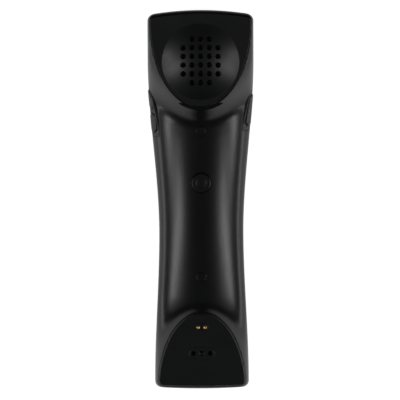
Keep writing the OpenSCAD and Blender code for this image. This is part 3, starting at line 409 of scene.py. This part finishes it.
# The two shells
def half_shell(name, point, t, rows, half_count):
    """One half of the body at depth t as a full solid, closed across the seam."""
    u = np.linspace(0, 1, half_count + 1)
    quarter = math.pi / 2 * (1 - (1 - u) ** CROWDING)
    a = np.concatenate([-quarter[::-1], quarter[1:]])
    r, end = max(CORNER_R - t, 0.8), BODY_LEN / 2 - t
    turn = np.radians(np.linspace(0, 90, 8))[1:]
    far = [(end - r + r * math.sin(c), r * (1 - math.cos(c))) for c in turn]
    near = [(-y, inset) for y, inset in reversed(far)]
    stations = near + [(y, 0.0) for y in np.linspace(-end + r, end - r, rows)] + far
    grid = [point(a, y, t, inset) for y, inset in stations]
    for row, where in ((0, 0), (-1, len(grid) + 1)):
        wall_foot = grid[row].copy()
        wall_foot[:, 2] = wall_foot[0, 2]
        grid.insert(where, wall_foot)
    k, n = len(a), len(grid)
    faces = [
        (i * k + j, i * k + j + 1, (i + 1) * k + j + 1, (i + 1) * k + j)
        for i in range(n - 1)
        for j in range(k - 1)
    ]
    faces += [(i * k, (i + 1) * k, (i + 1) * k + k - 1, i * k + k - 1) for i in range(1, n - 2)]
    faces.append(tuple(range(k)) + (2 * k - 1, k))
    faces.append(tuple((n - 1) * k + j for j in range(k)) + ((n - 1) * k - 1, (n - 2) * k))
    return solid(name, np.concatenate(grid), faces)


VOLUME_YS = [VOLUME_Y + s * (VOLUME_LEN + VOLUME_GAP) / 2 for s in (1, -1)]
VOLUME_BEZEL_LEN = 2 * VOLUME_LEN + VOLUME_GAP + 2 * BEZEL_MARGIN
VOLUME_BEZEL = ((VOLUME_Y, BEZEL_MID_H), (BEZEL_H, VOLUME_BEZEL_LEN, BEZEL_R), -1)
MUTE_BEZEL = ((MUTE_Y, BEZEL_MID_H), (BEZEL_H, MUTE_LEN + 2 * BEZEL_MARGIN, BEZEL_R), 1)
SIDE_KEYS = {
    "volume_up_key": ((VOLUME_YS[0], KEY_MID_H), (KEY_H, VOLUME_LEN, KEY_H), -1),
    "volume_down_key": ((VOLUME_YS[1], KEY_MID_H), (KEY_H, VOLUME_LEN, KEY_H), -1),
    "mute_key": ((MUTE_Y, KEY_MID_H), (KEY_H, MUTE_LEN, KEY_H), 1),
}


def key_windows(names):
    """Cutters for the windows of some side keys."""
    return [flank_solid("key_window", SIDE_KEYS[name], [(KEY_PLAY, 4), (KEY_PLAY, -2)]) for name in names]


def bezel_pocket(bezel):
    """A cutter for a bezel's pocket, a little wider at the skin."""
    return flank_solid("bezel_pocket", bezel, [(FIT, BEZEL_T), (FIT, 0.12), (0.18, 0), (0.18, -2)])


def hook_slot():
    """The crescent under the tip of the earpiece cover."""
    floor_z = float(ear_face_z(HOOK_Y)) - HOOK_DEPTH
    turn = np.radians(np.linspace(*HOOK_ARC, 57))
    lip = np.stack([HOOK_R * np.cos(turn), HOOK_Y + HOOK_R + HOOK_R * np.sin(turn)], -1)
    lip = lip[lip[:, 1] < HOOK_Y + HOOK_REACH]
    under_cover = lip[::-1] * (1, 0) + (0, HOOK_Y + HOOK_REACH + 0.01)
    outline = np.concatenate([lip, under_cover])
    return loft("hook_slot", [flat(outline, floor_z), flat(outline, floor_z + SLOT_PAST)])


def ear_rim():
    """The raised rim beside the earpiece cover, which ends in the square shoulders."""
    edge = ((0, -3.2), (0, -0.5), (-0.1, -0.28), (-0.3, -0.2))
    loops = [ear_loop(EAR_RIM + grow, rise) for grow, rise in edge]
    beyond = 40 * np.array([(-1, 0), (1, 0), (1, 1), (-1, 1)]) + (0, RIM_END_Y)
    return carve(loft("ear_rim", loops), [loft("beyond_rim", [flat(beyond, 0), flat(beyond, 80)])])


def front_housing():
    """The inner shell, with the seats of the covers, the slot, the rim and the windows of the keys."""
    shell = half_shell("front_housing_skin", front_point, 0, *FRONT_GRID)
    hollow = half_shell("front_hollow", front_point, WALL, *HOLLOW_GRID)
    hollow.data.transform(at(0, 0, -HOLLOW_PAST_SEAM))
    cutters = [
        hollow,
        loft("ear_seat", [ear_loop(EAR_SEAT_FIT, -EAR_T), ear_loop(EAR_SEAT_FIT, SEAT_PAST)]),
        loft("mouth_seat", [mouth_loop(FIT, -MOUTH_T), mouth_loop(FIT, SEAT_PAST)]),
        rod("dish_room", DISH_R + DISH_ROOM, -ROOM_PAST, 0, on_ear()),
        rod("boot_room", BOOT_ROOM_R, -ROOM_PAST, -1, on_mouth()),
        hook_slot(),
        bezel_pocket(VOLUME_BEZEL),
        bezel_pocket(MUTE_BEZEL),
        *key_windows(SIDE_KEYS),
    ]
    r, z = CALL_R + KEY_PLAY, float(crown_z(CALL_Y))
    wide, low, high = r + CALL_LIP_R, z - CALL_LIP_R, z + CALL_PAST
    lip = [(r, low), *arc(wide, low, CALL_LIP_R, 180, 90, 4), (wide, high), (0, high)]
    cutters.append(turned("call_hole", [(0, 12), (r, 12), *lip], at(0, CALL_Y, 0)))
    for y, _ in PLUGS.values():
        r = PLUG_R + FIT
        wide = r + PLUG_LIP_R
        lip = arc(wide, -PLUG_LIP_R, PLUG_LIP_R, 180, 90, 3)
        profile = [(0, -PLUG_T), (r, -PLUG_T), *lip, (wide, PLUG_PAST), (0, PLUG_PAST)]
        cutters.append(turned("plug_recess", profile, on_crown(y), 48))
    return carve(shell, cutters, [ear_rim()])


def rear_housing():
    """The outer shell, from the seam over the arched back."""
    shell = half_shell("rear_housing_skin", back_point, 0, *BACK_GRID)
    hollow = half_shell("rear_hollow", back_point, WALL, *HOLLOW_GRID)
    hollow.data.transform(at(0, 0, HOLLOW_PAST_SEAM))
    return carve(shell, [hollow])


# The covers
def sound_hole_cutters():
    """Cylinders for the sound holes, in rows without corners: a tree sets one on each of their points."""
    rows = np.arange(SOUND_ROWS) - (SOUND_ROWS - 1) / 2
    columns = np.arange(SOUND_COLUMNS) - (SOUND_COLUMNS - 1) / 2
    places = [
        (column * SOUND_PITCH, row * SOUND_PITCH, -6)
        for row in rows
        for column in columns
        if abs(row) < rows[-1] or abs(column) < columns[-1]
    ]
    mesh = bpy.data.meshes.new("sound_hole_places")
    mesh.from_pydata((np.array(places) * MM).tolist(), [], [])
    holes = bpy.data.objects.new("sound_holes", mesh)
    bpy.context.scene.collection.objects.link(holes)

    tree = bpy.data.node_groups.new("holes_on_points", "GeometryNodeTree")
    tree.interface.new_socket("Geometry", in_out="INPUT", socket_type="NodeSocketGeometry")
    radius = tree.interface.new_socket("Hole radius", in_out="INPUT", socket_type="NodeSocketFloat")
    tree.interface.new_socket("Geometry", in_out="OUTPUT", socket_type="NodeSocketGeometry")
    nodes, links = tree.nodes, tree.links
    start, end = nodes.new("NodeGroupInput"), nodes.new("NodeGroupOutput")
    cylinder = nodes.new("GeometryNodeMeshCylinder")
    cylinder.inputs["Vertices"].default_value = 40
    cylinder.inputs["Depth"].default_value = 14 * MM
    instances = nodes.new("GeometryNodeInstanceOnPoints")
    realize = nodes.new("GeometryNodeRealizeInstances")
    links.new(start.outputs["Hole radius"], cylinder.inputs["Radius"])
    links.new(start.outputs["Geometry"], instances.inputs["Points"])
    links.new(cylinder.outputs["Mesh"], instances.inputs["Instance"])
    links.new(instances.outputs["Instances"], realize.inputs["Geometry"])
    links.new(realize.outputs["Geometry"], end.inputs["Geometry"])

    repeat = holes.modifiers.new("repeat", "NODES")
    repeat.node_group = tree
    repeat[radius.identifier] = SOUND_R * MM
    plain(holes)
    holes.data.transform(on_ear())
    return holes


def earpiece_cover():
    """The cover of the receiver, with the dish and its sound holes."""
    centre = math.sqrt(DISH_CURVE**2 - DISH_R**2)
    plate = cover_plate("earpiece_cover_skin", ear_loop, EAR_T, EAR_EDGE_R)

    def on_ball(curve, r):
        return centre - math.sqrt(curve**2 - r**2)

    bowl_r = DISH_R + BOWL_WALL
    ball = [(r, on_ball(DISH_CURVE + EAR_T, r)) for r in np.linspace(0, bowl_r, 24)]
    bowl = turned("bowl", [*ball, (bowl_r, -EAR_T / 2), (0, -EAR_T / 2)], on_ear(), 96)
    reach = math.sqrt((DISH_CURVE + DISH_EDGE_R) ** 2 - (centre + DISH_EDGE_R) ** 2)
    lean = math.degrees(math.atan2(centre + DISH_EDGE_R, reach))
    inside = [(r, on_ball(DISH_CURVE, r)) for r in np.linspace(0, 0.99 * DISH_R, 40)]
    rim = arc(reach, -DISH_EDGE_R, DISH_EDGE_R, 180 - lean, 90, 8)
    dish = turned("dish", [*inside, *rim, (reach, 4), (0, 4)], on_ear(), 144)
    return carve(plate, [dish, sound_hole_cutters()], [bowl])


def round_hexagon(a, b, r, steps=5):
    """A hexagon with half axes a and b and rounded corners, its points left and right."""
    corners = np.array([(a, 0), (0.7 * a, b), (-0.7 * a, b), (-a, 0), (-0.7 * a, -b), (0.7 * a, -b)])
    points = []
    for i, corner in enumerate(corners):
        before, after = corners[i - 1] - corner, corners[(i + 1) % 6] - corner
        p, q = corner + before / np.hypot(*before) * r, corner + after / np.hypot(*after) * r
        for t in np.linspace(0, 1, steps + 1):
            points.append((1 - t) ** 2 * p + 2 * t * (1 - t) * corner + t * t * q)
    return np.array(points)


def mouthpiece_cover():
    """The proud pad, with the recesses for the contacts and for the microphone's three holes."""
    plate = cover_plate("mouthpiece_cover_skin", mouth_loop, MOUTH_T, MOUTH_EDGE_R, 8)
    turn = np.linspace(0, 2 * math.pi, 72, endpoint=False)
    circle = np.stack([np.cos(turn), np.sin(turn)], -1)
    oval = np.array(MIC_RECESS)
    recess = [flat((oval + grow) * circle, z) for grow, z in ((-0.25, -0.5), (0, -0.3), (0, 1))]
    hexagon = round_hexagon(*CONTACT_RECESS, CONTACT_RECESS_R)
    pocket = [flat(share * hexagon, z) for share, z in ((0.94, -0.6), (1, -0.4), (1, 1))]
    cutters = [
        loft("mic_recess", recess, on_mouth()),
        loft("contact_recess", pocket, on_mouth(0, CONTACT_V)),
    ]
    for x, r in ((0, MIC_R), (-MIC_PITCH, MIC_SIDE_R), (MIC_PITCH, MIC_SIDE_R)):
        cutters.append(rod("mic_hole", r, -5, 1, on_mouth(x), 48))
    for x in (-CONTACT_PITCH / 2, CONTACT_PITCH / 2):
        cutters.append(rod("pin_hole", CONTACT_R + FIT, -5, 1, on_mouth(x, CONTACT_V), 40))
    return carve(plate, cutters)


# The keys and the small parts
def bezel(name, where, keys):
    """A plate on a flank, with a window for each of its keys."""
    plate = flank_solid(name, where, [(0, BEZEL_T), (0, 0.14), (-0.05, 0.04), (-0.14, 0)], crown=True)
    return carve(plate, key_windows(keys))


def side_key(name, where):
    """The cap of a side key, with a rounded edge."""
    turn = np.linspace(0, math.pi / 2, 6)
    edge = [(-KEY_EDGE_R * (1 - math.cos(t)), KEY_EDGE_R * (1 - math.sin(t)) - KEY_PROUD) for t in turn]
    return flank_solid(name, where, [(0, KEY_DEPTH), *edge], crown=True)


def call_key():
    """The round call key with its flange and stem, and a finger dish in its top."""
    top = float(crown_z(CALL_Y)) + CALL_PROUD
    flange_z, stem_z = top - CALL_FLANGE_DEPTH, top - CALL_STEM_DEPTH
    flange_low, flange_r = flange_z - CALL_FLANGE_T, CALL_R + CALL_FLANGE_W
    curve = (CALL_DISH_R**2 + CALL_DISH_DEPTH**2) / (2 * CALL_DISH_DEPTH)
    dish_rs = np.linspace(0.985, 0, 14) * CALL_DISH_R
    dish = [(r, top - CALL_DISH_DEPTH + curve - math.sqrt(curve**2 - r**2)) for r in dish_rs]
    stem = [(0, stem_z), (CALL_STEM_R, stem_z), (CALL_STEM_R, flange_low)]
    flange = [(flange_r, flange_low), (flange_r, flange_z), (CALL_R, flange_z)]
    edge = arc(CALL_R - CALL_EDGE_R, top - CALL_EDGE_R, CALL_EDGE_R, 0, 90, 6)
    profile = [*stem, *flange, *edge, (CALL_DISH_R + CALL_DISH_EDGE, top), *dish]
    return turned("call_key", profile, at(0, CALL_Y, 0), 96)


def plug(name, y, notch):
    """A screw plug in the grip; notch is the side, 1 or -1, on which it can be lifted."""
    edge = [(PLUG_R, -PLUG_T), *arc(PLUG_R - PLUG_EDGE_R, -PLUG_EDGE_R, PLUG_EDGE_R, 0, 90, 4), (0, 0)]
    disc = turned(name, [(0, -PLUG_T), *edge], on_crown(y))
    place = on_crown(y) @ at(0, notch * PLUG_R, 0)
    return carve(disc, [rod("notch", NOTCH_R, -2, 1, place, 24)])


# Materials
class Shader:
    """A procedural material that is built node by node around one principled shader."""

    def __init__(self, name, color, roughness, metallic=0.0):
        self.material = bpy.data.materials.new(name)
        self.material.use_nodes = True
        self.nodes, self.links = self.material.node_tree.nodes, self.material.node_tree.links
        self.main = self.nodes["Principled BSDF"]
        self.main.inputs["Metallic"].default_value = metallic
        self.main.inputs["Base Color"].default_value = (*color, 1)
        self.main.inputs["Roughness"].default_value = roughness
        self.place = self.nodes.new("ShaderNodeTexCoord").outputs["Object"]

    def noise(self, size, detail=3.0, stretch=(1, 1, 1)):
        """Noise with features of a size in millimetres."""
        texture = self.nodes.new("ShaderNodeTexNoise")
        texture.inputs["Scale"].default_value = 1 / (size * MM)
        texture.inputs["Detail"].default_value = detail
        turn = self.nodes.new("ShaderNodeMapping")
        turn.inputs["Scale"].default_value = stretch
        self.links.new(self.place, turn.inputs["Vector"])
        self.links.new(turn.outputs["Vector"], texture.inputs["Vector"])
        return texture.outputs["Fac"]

    def span(self, value, low, high, to_low, to_high):
        """Maps a value from one span to another."""
        spread = self.nodes.new("ShaderNodeMapRange")
        spread.inputs["From Min"].default_value = low
        spread.inputs["From Max"].default_value = high
        spread.inputs["To Min"].default_value = to_low
        spread.inputs["To Max"].default_value = to_high
        self.links.new(value, spread.inputs["Value"])
        return spread.outputs["Result"]

    def blend(self, share, first, second):
        """Mixes two colours by a share."""
        both = self.nodes.new("ShaderNodeMix")
        both.data_type = "RGBA"
        both.inputs[6].default_value = (*first, 1)
        both.inputs[7].default_value = (*second, 1)
        self.links.new(share, both.inputs[0])
        self.links.new(both.outputs[2], self.main.inputs["Base Color"])

    def rough(self, value):
        self.links.new(value, self.main.inputs["Roughness"])

    def bump(self, height, depth, edge=0.0):
        """Bumps of a depth in millimetres, over edges rounded by a radius in millimetres."""
        relief = self.nodes.new("ShaderNodeBump")
        relief.inputs["Distance"].default_value = depth * MM
        self.links.new(height, relief.inputs["Height"])
        if edge:
            soft = self.nodes.new("ShaderNodeBevel")
            soft.samples = 4
            soft.inputs["Radius"].default_value = edge * MM
            self.links.new(soft.outputs["Normal"], relief.inputs["Normal"])
        self.links.new(relief.outputs["Normal"], self.main.inputs["Normal"])


def moulded(name, color, roughness, grain, edge=0.0, smudge=0.02):
    """Moulded plastic: fine grain, faint finger smudges and a few paler rubbed spots."""
    s = Shader(name, color, roughness)
    s.rough(s.span(s.noise(18, 2), 0.1, 0.9, roughness - smudge, roughness + smudge))
    s.blend(s.span(s.noise(9, 2), 0.2, 0.8, 0, 0.5), color, [min(1.6 * c, 1) for c in color])
    s.bump(s.noise(grain, 2), 0.006, edge)
    return s.material


def metal(name, color, roughness):
    """Bare metal with fine drawn lines and a dull patina."""
    s = Shader(name, color, roughness, metallic=1.0)
    s.rough(s.span(s.noise(1.5, 4), 0.3, 0.7, roughness - 0.06, roughness + 0.12))
    s.blend(s.span(s.noise(3, 5), 0.4, 0.75, 0, 0.6), color, [0.7 * c for c in color])
    s.bump(s.noise(0.25, 2, (1, 1, 12)), 0.002)
    return s.material


def cloth(name, color):
    """Fine felt cloth."""
    s = Shader(name, color, 0.9)
    s.rough(s.span(s.noise(0.5), 0.3, 0.7, 0.85, 1))
    s.blend(s.noise(0.3, 2), color, [2 * c for c in color])
    s.bump(s.noise(0.12, 1), 0.03)
    return s.material


MATERIALS = {
    "housing_plastic": moulded("housing_plastic", (0.0050, 0.0052, 0.0054), 0.29, 0.35, 0.25),
    "cover_plastic": moulded("cover_plastic", (0.0055, 0.0060, 0.0062), 0.38, 0.25, 0.12),
    "key_rubber": moulded("key_rubber", (0.0048, 0.0050, 0.0052), 0.34, 0.2, 0.1),
    "inner_plastic": moulded("inner_plastic", (0.02, 0.02, 0.022), 0.45, 0.3),
    "foam": moulded("foam", (0.02, 0.02, 0.021), 0.9, 0.15),
    # The felt is darker than any cloth, so that the sound holes in front of it look as black as the shade
    # inside them: painted shade
    "felt": cloth("felt", (0.0008, 0.0008, 0.0009)),
    "film": moulded("film", (0.6, 0.56, 0.45), 0.25, 0.5),
    "steel": metal("steel", (0.5, 0.5, 0.5), 0.32),
    "gold": metal("gold", (0.88, 0.58, 0.22), 0.42),
    # The can is a dark grey metal, partly its own tone and partly painted shade, so that the microphone seen
    # through its holes looks as dark as the shade inside them
    "can": metal("can", (0.2, 0.2, 0.2), 0.45),
    "board": moulded("board", (0.02, 0.11, 0.05), 0.35, 0.6),
    "connector": moulded("connector", (0.72, 0.69, 0.6), 0.4, 0.4),
    "cell": metal("cell", (0.34, 0.38, 0.42), 0.4),
    "wire": moulded("wire", (0.35, 0.05, 0.04), 0.45, 0.4),
}


# The pieces on their bodies
def dress(obj, slot, node, body="handset"):
    """Gives a piece its material and its body, and lets it stand for a CAD node."""
    even_out(obj)
    obj.data.materials.clear()
    obj.data.materials.append(MATERIALS[slot])
    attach(obj, body)
    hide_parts(node)


slots = {part["node"]: part["material_slot"] for part in frame["record"]["subparts"]}
for node, obj in frame["nodes"].items():
    for material_slot in obj.material_slots:
        material_slot.material = MATERIALS[slots[node]]

dress(front_housing(), "housing_plastic", "front_housing")
dress(rear_housing(), "housing_plastic", "rear_housing")
dress(earpiece_cover(), "cover_plastic", "earpiece_cover")
dress(mouthpiece_cover(), "cover_plastic", "mouthpiece_cover")
volume_keys = ["volume_up_key", "volume_down_key"]
dress(bezel("left_bezel", VOLUME_BEZEL, volume_keys), "cover_plastic", "left_key_bezel")
dress(bezel("right_bezel", MUTE_BEZEL, ["mute_key"]), "cover_plastic", "right_key_bezel")
for key, where in SIDE_KEYS.items():
    dress(side_key(key + "_cap", where), "key_rubber", key, key)
dress(call_key(), "key_rubber", "call_button", "call_button")
for node, (y, notch) in PLUGS.items():
    dress(plug(node + "_disc", y, notch), "housing_plastic", node)

# The studio
PHOTO_PX, MM_PER_PX = 400, 0.5442
CAMERA_X, CAMERA_Y, CAMERA_ROLL = -0.65, -0.35, math.radians(-0.26)
FOCUS_Z, CAMERA_DISTANCE, SENSOR = 20, 4000, 36
scene = bpy.context.scene
camera = bpy.data.objects.new("camera", bpy.data.cameras.new("camera"))
scene.collection.objects.link(camera)
camera.location = Vector((CAMERA_X, CAMERA_Y, FOCUS_Z + CAMERA_DISTANCE)) * MM
camera.rotation_euler = (0, 0, CAMERA_ROLL)
camera.data.sensor_width = SENSOR
camera.data.lens = SENSOR * CAMERA_DISTANCE / (MM_PER_PX * PHOTO_PX)
camera.data.clip_end = 50
scene.camera = camera


def softbox(name, place, size, strength, roll=0):
    """A soft lamp that is turned towards the handset, and rolled by some degrees."""
    lamp = bpy.data.objects.new(name, bpy.data.lights.new(name, "AREA"))
    lamp.data.shape = "RECTANGLE"
    lamp.data.size, lamp.data.size_y = size
    lamp.data.energy = strength
    lamp.location = place
    lamp.rotation_mode = "QUATERNION"
    aim = (Vector((0, 0, FOCUS_Z * MM)) - Vector(place)).to_track_quat("-Z", "Y")
    lamp.rotation_quaternion = aim @ Quaternion((0, 0, 1), math.radians(roll))
    scene.collection.objects.link(lamp)


for side, x in (("left", -1), ("right", 1)):
    softbox("grip_softbox_" + side, (x * 0.59, 0.03, 0.72), (0.06, 0.42), 1.3, x * 28)
    softbox("neck_softbox_" + side, (x * 0.72, -0.23, 0.58), (0.09, 0.2), 0.8)
    softbox("edge_softbox_" + side, (x * 1.1, 0.05, 0.1), (1.2, 0.12), 2)


def by_ray(tree, seen, mirrored, lit):
    """A strength that differs for what the camera sees, what the object mirrors and what lights it."""
    ray = tree.nodes.new("ShaderNodeLightPath")
    glossy = tree.nodes.new("ShaderNodeMix")
    glossy.inputs[2].default_value = lit
    glossy.inputs[3].default_value = mirrored
    tree.links.new(ray.outputs["Is Glossy Ray"], glossy.inputs[0])
    direct = tree.nodes.new("ShaderNodeMix")
    direct.inputs[3].default_value = seen
    tree.links.new(ray.outputs["Is Camera Ray"], direct.inputs[0])
    tree.links.new(glossy.outputs[0], direct.inputs[2])
    return direct.outputs[0]


world = bpy.data.worlds.new("studio")
scene.world = world
world.use_nodes = True
backdrop = world.node_tree.nodes["Background"]
backdrop.inputs["Color"].default_value = (1, 1, 1, 1)
sky = by_ray(world.node_tree, seen=1.0, mirrored=0.02, lit=0.02)
world.node_tree.links.new(sky, backdrop.inputs["Strength"])
scene.view_settings.view_transform = "Standard"

FLOOR_SIZE, FLOOR_Z = 8, -0.0003
bpy.ops.mesh.primitive_plane_add(size=FLOOR_SIZE, location=(0, 0, FLOOR_Z))
floor = bpy.context.object
floor.name = "studio_floor"
paper = Shader("studio_paper", (0.85, 0.85, 0.85), 0.9)
paper.main.inputs["Emission Color"].default_value = (1, 1, 1, 1)
glow = by_ray(paper.material.node_tree, seen=0.85, mirrored=0.4, lit=0.0)
paper.links.new(glow, paper.main.inputs["Emission Strength"])
floor.data.materials.append(paper.material)
